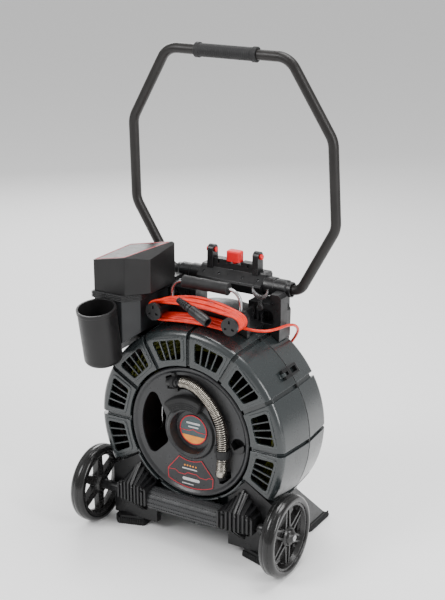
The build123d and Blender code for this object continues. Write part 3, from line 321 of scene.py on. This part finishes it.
def add_tube(shape, points, radius, sides=12, closed=False):
    """Sweep a circle along points; radius is a number or a function of the place along, in millimetres."""
    count = len(points)
    ways = []
    for index in range(count):
        if closed:
            ways.append((points[(index + 1) % count] - points[index - 1]).normalized())
        else:
            ways.append((points[min(index + 1, count - 1)] - points[max(index - 1, 0)]).normalized())
    first, _ = basis(ways[0])
    rings, travelled = [], 0.0
    for index, point in enumerate(points):
        if index:
            travelled += (point - points[index - 1]).length * 1000
        first = (first - ways[index] * first.dot(ways[index])).normalized()
        second = ways[index].cross(first)
        size = (radius(travelled) if callable(radius) else radius) / 1000
        rings.append([point + (first * math.cos(math.tau * step / sides)
                               + second * math.sin(math.tau * step / sides)) * size for step in range(sides)])
    add_rings(shape, rings, closed, True)


FRONT = Vector((0, -1, 0))


def make(name, material, body, build, angle=38):
    """A piece whose shape the function `build` adds to an empty bmesh."""
    shape = bmesh.new()
    build(shape)
    bmesh.ops.recalc_face_normals(shape, faces=shape.faces)
    mesh = bpy.data.meshes.new(name)
    shape.to_mesh(mesh)
    shape.free()
    return finish_piece(name, mesh, material, body, angle)


def soft_path(corners, step):
    """Points along the smooth curve that runs through the middles of a route's runs."""
    points = [corners[0]]
    starts = [corners[0]] + [(a + b) / 2 for a, b in zip(corners[1:-1], corners[2:-1])] + [corners[-1]]
    for index in range(1, len(corners) - 1):
        begin, corner, end = starts[index - 1], corners[index], starts[index]
        pieces = max(3, int(((corner - begin).length + (end - corner).length) * 1000 / step))
        for piece in range(1, pieces + 1):
            t = piece / pieces
            points.append(begin * (1 - t) ** 2 + corner * 2 * t * (1 - t) + end * t * t)
    return points


def plate_shape(shape, outline, thickness, way=FRONT):
    """A slab from an outline of points, thickened one way."""
    rise = way.normalized() * (thickness / 1000)
    add_rings(shape, [outline, [point + rise for point in outline]], False, True)


def band_along(shape, path, width, rise, normal, closed=False):
    """A flat raised line of a width along points, standing on a surface with that normal."""
    count = len(path)
    rings = []
    for index in range(count):
        if closed:
            way = (path[(index + 1) % count] - path[index - 1]).normalized()
        else:
            way = (path[min(index + 1, count - 1)] - path[max(index - 1, 0)]).normalized()
        side = normal.cross(way).normalized() * (width / 2000)
        up = normal * (rise / 1000)
        rings.append([path[index] - side, path[index] + side, path[index] + side + up, path[index] - side + up])
    add_rings(shape, rings, closed, True)


def arc_points(radius, start, end, steps, depth):
    """Points along a circle about the drum's axis, by clock angle."""
    return [clock(radius, start + (end - start) * step / steps, depth) for step in range(steps + 1)]


# ---- the system cable ----
CABLE_D = 7.0
ROUTE = [(60, 246, 373.5), (84, 248, 408), (118, 249, 450), (152, 247, 492), (178, 233, 531), (184, 200, 557),
         (182, 160, 567), (178, 120, 569), (163, 88, 570), (136, 72, 573)]
TURNS = 5.5
TURN_POINTS = 28
TURN_PITCH = 7.9
STRAYS = [0.5, 3.0, -1.5, 2.6, -1.8, 2.2, 0.0]
COIL_BACK = 70.4


def coil_point(turn):
    """A point of the wound cable: along the bottom to the left, up, along the top to the right, and down."""
    depth = COIL_BACK - TURN_PITCH * turn
    stray = STRAYS[int(turn)] * (1 - turn % 1.0) + STRAYS[int(turn) + 1] * (turn % 1.0)
    swell = min(max((turn - 5.0) / 0.5, 0), 1)
    radius = 19.2 + 5.5 * swell * swell * (3 - 2 * swell)
    fan = (depth - 28) / 42
    phase = turn % 1.0
    run = 2 * WRAP_X
    half = math.pi * radius
    place = phase * (2 * run + 2 * half)
    if place < run:
        t = place / run
        return (WRAP_X - run * t, depth, WRAP_Z - radius + (5 + 4 * fan + stray) * math.sin(math.pi * t))
    place -= run
    if place < half:
        turned = -math.pi / 2 - place / radius
        return (-WRAP_X + radius * math.cos(turned), depth, WRAP_Z + radius * math.sin(turned))
    place -= half
    if place < run:
        t = place / run
        return (-WRAP_X + run * t, depth, WRAP_Z + radius + (5 + 13 * fan + stray) * math.sin(math.pi * t))
    turned = math.pi / 2 - (place - run) / radius
    return (WRAP_X + radius * math.cos(turned), depth, WRAP_Z + radius * math.sin(turned))


PLUG_START = Vector((-41, 22, 634))
PLUG_WAY = (Vector((57, -2, 602)) - PLUG_START).normalized()
cable_points = [at(*point) for point in ROUTE]
cable_points += [at(*coil_point(step / TURN_POINTS)) for step in range(int(TURNS * TURN_POINTS) + 1)]
cable_points += [at(-95, 28.2, 621.5), at(-80, 27.2, 628.5), at(-66, 26, 634), at(-53, 24.6, 637.2)]
cable_points += [at(*PLUG_START)]


def add_cable():
    """The system cable as one open NURBS curve, with its wound turns."""
    data = bpy.data.curves.new("system_cord", "CURVE")
    data.dimensions = "3D"
    data.resolution_u = 4
    data.bevel_depth = CABLE_D / 2000
    data.bevel_resolution = 5
    data.use_fill_caps = True
    spline = data.splines.new("NURBS")
    spline.points.add(len(cable_points) - 1)
    for point, place in zip(spline.points, cable_points):
        point.co = (*place, 1)
    spline.order_u = 3
    spline.use_endpoint_u = True
    data.materials.append(CABLE)
    cord = bpy.data.objects.new("system_cord", data)
    bpy.context.scene.collection.objects.link(cord)
    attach(cord, "machine")
    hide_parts("system_cable", "cable_coil")
    return cord


cord = add_cable()


def build_plug(shape):
    """A ribbed strain relief, a body, and a knurled coupling nut, open at its end."""
    profile = [(0, 3.7), (0, 5.6)]
    for rib in range(6):
        start = 1 + rib * 5.6
        swell = 7.4 + rib * 0.5
        profile += [(start, swell - 0.8), (start + 0.8, swell), (start + 2.4, swell), (start + 3.2, swell - 0.8),
                    (start + 3.4, swell - 3.2), (start + 5.2, swell - 3.2)]
    profile += [(35.5, 9.4), (44, 9.6), (45, 7.4), (48, 7.4), (49, 11.4), (50, 12.2)]
    for rib in range(10):
        start = 52 + rib * 1.4
        profile += [(start, 12.2), (start + 0.3, 11.7), (start + 1.0, 11.7), (start + 1.2, 12.2)]
    profile += [(67, 12.4), (68, 11.3), (72, 11.3), (73, 12.4), (104, 12.4), (107, 11.6), (107, 9), (96, 9),
                (96, 0)]
    add_lathe(shape, at(*PLUG_START), PLUG_WAY, profile, 56)


plug = make("cable_plug", BLACK, "machine", build_plug)
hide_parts("cable_connector")


def build_knurl(shape):
    """Raised grip bars round the coupling nut."""
    first, second = basis(PLUG_WAY)
    for bar in range(20):
        turn = math.tau * bar / 20
        out = first * math.cos(turn) + second * math.sin(turn)
        start = at(*PLUG_START) + PLUG_WAY * 0.076 + out * 0.0118
        add_tube(shape, [start, start + PLUG_WAY * 0.014, start + PLUG_WAY * 0.026], 0.8, 6)


knurl = make("cable_plug_bars", BLACK, "machine", build_knurl)

# ---- the coiled push cable inside the drum ----
ROD_R = 5.0


def build_push_coil(shape):
    """Closed turns of the push cable where they can be seen, over a plain core."""
    rings = [(84, 190 + 10.4 * step) for step in range(5)]
    rings += [(84 + 10.4 * step, 236) for step in range(1, 10)]
    rings += [(74, 231), (74, 220.5), (93, 226), (93, 205), (93, 186)]
    for depth, radius in rings:
        lift, swing = random.uniform(-1.2, 1.2), random.uniform(0, math.tau)
        points = []
        for step in range(120):
            angle = 360 * step / 120
            wobble = 0.6 * math.sin(3 * math.radians(angle) + swing)
            points.append(clock(radius + wobble, angle, depth + lift * math.sin(math.radians(angle) + swing)))
        add_tube(shape, points, ROD_R, 10, closed=True)
    profile = [(92, 186), (92, 232), (176, 232), (176, 186)]
    rings = []
    for step in range(96):
        rings.append([clock(radius, 360 * step / 96, depth) for depth, radius in profile])
    add_rings(shape, rings, True, False)


coil = make("push_cable_turns", PUSH_ROD_PAINTED_SHADE, "drum", build_push_coil)
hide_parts("push_cable")

TAIL = [on_drum(96, -88, -6.5), on_drum(94.5, -98.6, -6.5), on_drum(95.5, -103, 9), on_drum(96.8, -103.8, 24),
        on_drum(97, -104, 42), on_drum(126, -134, 70)]
make("push_cable_tail", GRIP, "drum",
     lambda shape: add_tube(shape, soft_path(TAIL, 1.5), lambda s: 10.5 - 5.5 * min(s / 16, 1), 24))

# ---- the camera and its hose ----
camera_start = on_drum(-60, 120, PLATE_FACE)
camera_end = on_drum(-18, 130.5, 0)
camera_way = (camera_end - camera_start).normalized()
HOSE_ROUTE = [camera_end, camera_end + camera_way * 0.016, on_drum(36, 124, -6), on_drum(76, 86, -6.5),
              on_drum(101, 36, -6.5), on_drum(100.5, -56, -6.5), on_drum(96, -88, -6.5)]


def wind_wire(shape, points, radius, wire, pitch_at):
    """A round wire wound tightly about a path, its pitch set by the place along it."""
    first, _ = basis(points[1] - points[0])
    turned, travelled, wound = 0.0, 0.0, []
    for before, after in zip(points, points[1:]):
        way = (after - before).normalized()
        first = (first - way * first.dot(way)).normalized()
        second = way.cross(first)
        length = (after - before).length
        steps = max(1, round(length * 1000 / pitch_at(travelled * 1000) * 14))
        for step in range(steps):
            t = step / steps
            angle = turned + math.tau * t * length * 1000 / pitch_at(travelled * 1000)
            wound.append(before.lerp(after, t) + (first * math.cos(angle) + second * math.sin(angle))
                         * (radius / 1000))
        turned += math.tau * length * 1000 / pitch_at(travelled * 1000)
        travelled += length
    add_tube(shape, wound, wire, 7)


hose_path = soft_path(HOSE_ROUTE, 4)
hose = make("camera_hose_core", DARK, "drum", lambda shape: add_tube(shape, soft_path(HOSE_ROUTE, 1.5), 12.0, 32))
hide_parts("camera_hose")
wire = make("camera_hose_wire", HOSE, "drum", lambda shape: wind_wire(
    shape, hose_path, 12.0, 1.7, lambda place: 5.4 if 128 < place < 246 else 3.6), angle=80)
make("camera_hose_ferrule", HOSE, "drum", lambda shape: add_lathe(
    shape, HOSE_ROUTE[-1] + (HOSE_ROUTE[-2] - HOSE_ROUTE[-1]).normalized() * 0.001, HOSE_ROUTE[-2] - HOSE_ROUTE[-1],
    [(0, 0), (0, 13), (1, 13.5), (15, 13.5), (16, 12.8), (16, 0)], 40))


def build_lens(shape):
    profile = [(0, 0), (0, 8.8), (1.2, 8.8), (2.2, 6), (2.8, 0)]
    add_lathe(shape, camera_start + camera_way * 0.0031, -camera_way, profile, 40)


make("camera_lens", LENS, "drum", build_lens)


# ---- the badge, label and finger pull on the drum ----
def build_badge(shape):
    add_lathe(shape, on_drum(0, 0, 24), FRONT, [(0, 0), (0, 39.8), (1.6, 39.8), (2.2, 39.2), (2.2, 0)], 96)


badge = make("badge_disc", BADGE, "drum", build_badge)
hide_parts("hub_badge")


def build_badge_ring(shape):
    profile = [(2.0, 36.4), (2.7, 36.4), (2.9, 37), (2.9, 38.4), (2.6, 39.2), (2.0, 39.2)]
    rings = [[clock(radius, 360 * step / 96, 24 - along) for along, radius in profile] for step in range(96)]
    add_rings(shape, rings, True, False)


make("badge_ring", OUTLINE, "drum", build_badge_ring)


def chord_segment(radius, top, depth, steps=40):
    """The part of a disc below a height."""
    reach = math.degrees(math.acos(top / radius))
    return [clock(radius, reach + (360 - 2 * reach) * step / steps, depth) for step in range(steps + 1)]


make("badge_segment", ORANGE, "drum", lambda shape: plate_shape(shape, chord_segment(36.6, -16, 21.9), 0.45))
make("badge_line", OUTLINE, "drum", lambda shape: band_along(
    shape, [on_drum(x, -4 + 5 * max(0, 1 - abs(x) / 12), 21.8) for x in range(-35, 36, 2)], 1.6, 0.5, FRONT))


def rounded_bar(shape, x, height, width, tall, depth, rise):
    """A plain raised bar with round ends."""
    radius = tall / 2
    outline = []
    for side, start in ((1, 90), (-1, 270)):
        for step in range(9):
            turn = math.radians(start - 180 * step / 8)
            outline.append(on_drum(x + side * (width / 2 - radius) + radius * math.cos(turn),
                                   height + radius * math.sin(turn), depth))
    plate_shape(shape, outline, rise)


def build_badge_bars(shape):
    rounded_bar(shape, 0, 17, 40, 5, 21.85, 0.4)
    rounded_bar(shape, 0, 7, 30, 3.4, 21.85, 0.4)


make("badge_bars", PALE, "drum", build_badge_bars)

LABEL_THICK = 1.2
LABEL_FACE = PLATE_FACE - LABEL_THICK
label_outline = (arc_points(77, 154, 206, 16, PLATE_FACE) + [on_drum(-69, -112, PLATE_FACE)]
                 + arc_points(153.5, 206, 154, 24, PLATE_FACE) + [on_drum(69, -112, PLATE_FACE)])
label = make("label_panel", LABEL, "drum", lambda shape: plate_shape(shape, label_outline, LABEL_THICK))
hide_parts("front_label")


def inset(points, centre, share):
    """Points drawn in towards a centre."""
    return [centre + (point - centre) * share for point in points]


label_centre = on_drum(0, -113, LABEL_FACE)
make("label_outline", OUTLINE, "drum", lambda shape: band_along(
    shape, [Vector((p.x, label_centre.y, p.z)) for p in inset(label_outline, label_centre, 0.955)], 1.7, 0.3,
    FRONT, closed=True))
LABEL_DIVIDER = [(-65, -113), (-44, -111), (-34, -118), (-16, -118), (-8, -112), (18, -112), (28, -118), (46, -118),
                 (54, -112), (65, -113)]
make("label_divider", OUTLINE, "drum", lambda shape: band_along(
    shape, [on_drum(x, height, LABEL_FACE) for x, height in LABEL_DIVIDER], 1.5, 0.3, FRONT))


def build_label_bars(shape):
    rounded_bar(shape, 2, -129, 50, 8, LABEL_FACE, 0.3)
    rounded_bar(shape, -2, -101, 44, 3, LABEL_FACE, 0.3)
    rounded_bar(shape, -8, -142, 34, 2.4, LABEL_FACE, 0.3)


make("label_bars", PALE, "drum", build_label_bars)


def build_label_dots(shape):
    for step in range(5):
        centre = on_drum(-16 + 8 * step, -92, LABEL_FACE)
        add_lathe(shape, centre, FRONT, [(0, 0), (0, 2.2), (0.3, 2.2), (0.3, 0)], 20)


make("label_dots", ORANGE, "drum", build_label_dots)


def build_pull(shape):
    """A crowned arched pad over the hub's collar, with a step down to its face."""
    rows, columns = 16, 64
    grid = []
    for row in range(rows + 1):
        line = []
        v = row / rows
        for column in range(columns + 1):
            u = column / columns
            edge = min(1, min(u, 1 - u) * columns / 4)
            side = min(1, min(v, 1 - v) * rows / 2.5)
            crown = (1 - (1 - edge) ** 2) ** 0.5 * (1 - (1 - side) ** 2) ** 0.5
            brow = 2.2 * max(0, min(1, (v - 0.62) / 0.12))
            radius = 61.4 + 35.2 * v - 5 * (1 - edge) ** 2 * (v - 0.5)
            line.append(clock(radius, -45.6 + 73.2 * u, -(10.6 + brow) * crown - 0.2))
        grid.append(line)
    made = [[shape.verts.new(point) for point in line] for line in grid]
    for row in range(rows):
        for column in range(columns):
            shape.faces.new((made[row][column], made[row][column + 1], made[row + 1][column + 1],
                             made[row + 1][column]))
    rim = made[0] + [line[-1] for line in made[1:]] + made[-1][-2::-1] + [line[0] for line in made[-2:0:-1]]
    foot = []
    for vertex in rim:
        reach = Vector((vertex.co.x, vertex.co.z - DRUM_Z / 1000)).length * 1000
        depth = PLATE_FACE if reach > 71 else 0.4
        foot.append(shape.verts.new((vertex.co.x, at(0, depth, 0).y, vertex.co.z)))
    for index in range(len(rim)):
        after = (index + 1) % len(rim)
        shape.faces.new((rim[index], foot[index], foot[after], rim[after]))
    shape.faces.new(foot)


pull = make("finger_pull_pad", GRIP, "drum", build_pull, angle=60)
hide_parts("finger_pull")


def build_pull_nubs(shape):
    """Four rows of small round nubs on the pull's face."""
    nub = [(-1, 1.8), (0.5, 1.8), (1.2, 1.2), (1.4, 0)]
    for row in range(4):
        for column in range(19 + row):
            angle = -40 + 62 * (column + 0.5) / (19 + row)
            add_lathe(shape, clock(65.5 + 5 * row, angle, -10.6), FRONT, nub, 10)


make("finger_pull_nubs", GRIP, "drum", build_pull_nubs)


# ---- grips ----
def grip_profile(half, tube, body_r, collar_r, collar, pitch):
    """A grip's profile: collars at both ends and shallow rings between them."""
    profile = [(-half, tube), (-half, collar_r - 1.5), (-half + 1.5, collar_r), (-half + collar - 1.5, collar_r),
               (-half + collar, body_r)]
    rings = int((2 * half - 2 * collar - 4) / pitch)
    for ring in range(rings):
        start = -half + collar + 2 + ring * pitch
        profile += [(start, body_r), (start + pitch * 0.6, body_r), (start + pitch * 0.7, body_r - 0.6),
                    (start + pitch * 0.9, body_r - 0.6)]
    profile += [(half - collar, body_r), (half - collar + 1.5, collar_r), (half - 1.5, collar_r),
                (half, collar_r - 1.5), (half, tube)]
    return profile


top_y = PIVOT_Y - 0.07 * (1206 - PIVOT_Z)
hoop_grip = make("hoop_grip", GRIP, "hoop", lambda shape: add_lathe(
    shape, at(0, top_y, 1206), Vector((1, 0, 0)), grip_profile(84, 12.5, 16, 18.4, 12, 5), 56, closed=True))
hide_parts("handle_grip")
low_grip = make("carry_grip_sleeve", GRIP, "machine", lambda shape: add_lathe(
    shape, at(0, 84, 660), Vector((1, 0, 0)), grip_profile(64, 4.5, 15, 15.5, 6, 40), 56, closed=True))
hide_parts("carry_grip")


# ---- wheels ----
def build_tyre(shape, side):
    """A solid tyre with two shallow grooves."""
    profile = [(-15, 84), (-17.5, 84.6), (-19, 87), (-19, 93), (-17.5, 97), (-14, 99.6), (-8, 101.1), (-7, 100.2),
               (-6, 101.3), (0, 101.5), (6, 101.3), (7, 100.2), (8, 101.1), (14, 99.6), (17.5, 97), (19, 93),
               (19, 87), (17.5, 84.6), (15, 84), (11, 88), (-11, 88)]
    add_lathe(shape, at(side * WHEEL_X, AXLE_Y, AXLE_Z), Vector((side, 0, 0)), profile, 128, closed=True)


for side, hand in ((-1, "left"), (1, "right")):
    tyre = make(f"tyre_ring_{hand}", TYRE, f"{hand}_wheel", lambda shape: build_tyre(shape, side), angle=50)
    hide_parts(f"tyre_{hand}")


# ---- screws ----
def add_screw(shape, place, way, radius):
    """A domed head with a hexagonal socket."""
    way = way.normalized()
    profile = [(-1.2, radius), (0.3, radius), (radius * 0.28, radius * 0.86), (radius * 0.36, radius * 0.55)]
    add_lathe(shape, place, way, profile, 20)
    first, second = basis(way)
    centre = place + way * (radius * 0.37 / 1000)
    hexagon = [centre + (first * math.cos(math.tau * step / 6) + second * math.sin(math.tau * step / 6))
               * (radius * 0.42 / 1000) for step in range(6)]
    plate_shape(shape, hexagon, 0.15, way)


def build_screws(shape):
    for side in (-1, 1):
        for x in (118, 151, 184):
            add_screw(shape, at(side * x, -34, 130), FRONT, 3.2)
        for x in (34, 78):
            slope = Vector((0, -0.643, 0.766))
            add_screw(shape, at(side * x, 199.2 + 1.6, 652.4 - 1.6), slope, 3.0)
        add_screw(shape, at(side * 80, 250, 640), Vector((0, 1, 0)), 3.4)
        add_screw(shape, at(side * 60, 78, 600), FRONT, 3.2)
    for step in range(6):
        turn = math.radians(30 + 60 * step)
        add_screw(shape, at(88 * math.cos(turn), 229, DRUM_Z + 88 * math.sin(turn)), Vector((0, 1, 0)), 4)


make("machine_screws", SCREW, "machine", build_screws)


# ---- tread, beads and ribs ----
def build_bar_tread(shape):
    """Raised zigzag lines over the front and top of the front bar."""
    radius, steps = 28.9, 56
    for line in range(27):
        middle = -94 + 7.2 * line
        rings = []
        for step in range(steps + 1):
            turn = math.radians(60 + 175 * step / steps)
            swing = abs((step / steps * 7) % 1.0 - 0.5) * 9
            x = min(max(middle + swing, -103), 103)
            ring = []
            for across, rise in ((-1.3, 0), (1.3, 0), (0.9, 0.9), (-0.9, 0.9)):
                reach = radius + rise
                ring.append(at(x + across, AXLE_Y + reach * math.cos(turn), AXLE_Z + reach * math.sin(turn)))
            rings.append(ring)
        add_rings(shape, rings, False, True)


make("front_bar_tread", BAR, "machine", build_bar_tread)


def build_rim_beads(shape):
    """Four thin beads round the bin's rim."""
    outline = [(-261, -25), (-218, -25), (-174.6, -25), (-141, 12.6), (-141, 76), (-141, 141), (-201, 141),
               (-261, 141), (-261, 58)]
    for bead in range(4):
        add_tube(shape, [at(x, y, 618.5 + 4.1 * bead) for x, y in outline], 1.5, 8, closed=True)


make("bin_rim_beads", BLACK, "machine", build_rim_beads)


def ribs_along(shape, start, end, count, low, high, side):
    """Upright ribs spread along a foot's edge."""
    for rib in range(count):
        t = (rib + 0.5) / count
        x, y = start[0] + (end[0] - start[0]) * t, start[1] + (end[1] - start[1]) * t
        add_tube(shape, [at(side * x, y, low), at(side * x, y, (low + high) / 2), at(side * x, y, high)], 2.3, 8)


def build_foot_ribs(shape):
    for side in (-1, 1):
        ribs_along(shape, (148, 11.4), (212, -7.7), 11, 0.5, 17, side)
        ribs_along(shape, (214, -7), (228.5, 7.5), 4, 0.5, 17, side)
        ribs_along(shape, (228.8, 10), (228.8, 78), 11, 0.5, 17, side)
        ribs_along(shape, (237.5, 206), (237.5, 304), 15, 0.5, 17, side)


make("foot_ribs", GRIP, "machine", build_foot_ribs)

GUIDE = [clock(157, -112, 80), clock(128, -108, 72), clock(122, -88, 66), clock(128, -66, 72), clock(157, -62, 80)]
make("guide_rod", STEEL, "drum", lambda shape: add_tube(shape, soft_path(GUIDE, 3), 2.6, 16))

for side, hand in ((-1, "left"), (1, "right")):
    def build_axle_end(shape, side=side):
        profile = [(-1, 0), (-1, 7.2), (0, 7.2), (0.6, 7.2), (1.0, 6.6), (1.0, 2.6), (0.4, 2.2), (0.4, 0)]
        add_lathe(shape, at(side * 300.6, AXLE_Y, AXLE_Z), Vector((side, 0, 0)), profile, 32)

    make(f"axle_end_{hand}", STEEL, f"{hand}_wheel", build_axle_end)


# ---- red outline on the lid ----
def lid_point(x, y):
    """A point on the lid's sloping top."""
    return at(x, y, 730 + 0.2 * (x + 165))


LID_UP = Vector((-0.2, 0, 1)).normalized()
lid_loop = [(-252, -16), (-168, -16), (-142, 108), (-136, 130), (-252, 130)]
make("lid_outline", OUTLINE, "lid", lambda shape: band_along(
    shape, [lid_point(*point) for point in lid_loop], 3.6, 0.6, LID_UP, closed=True))
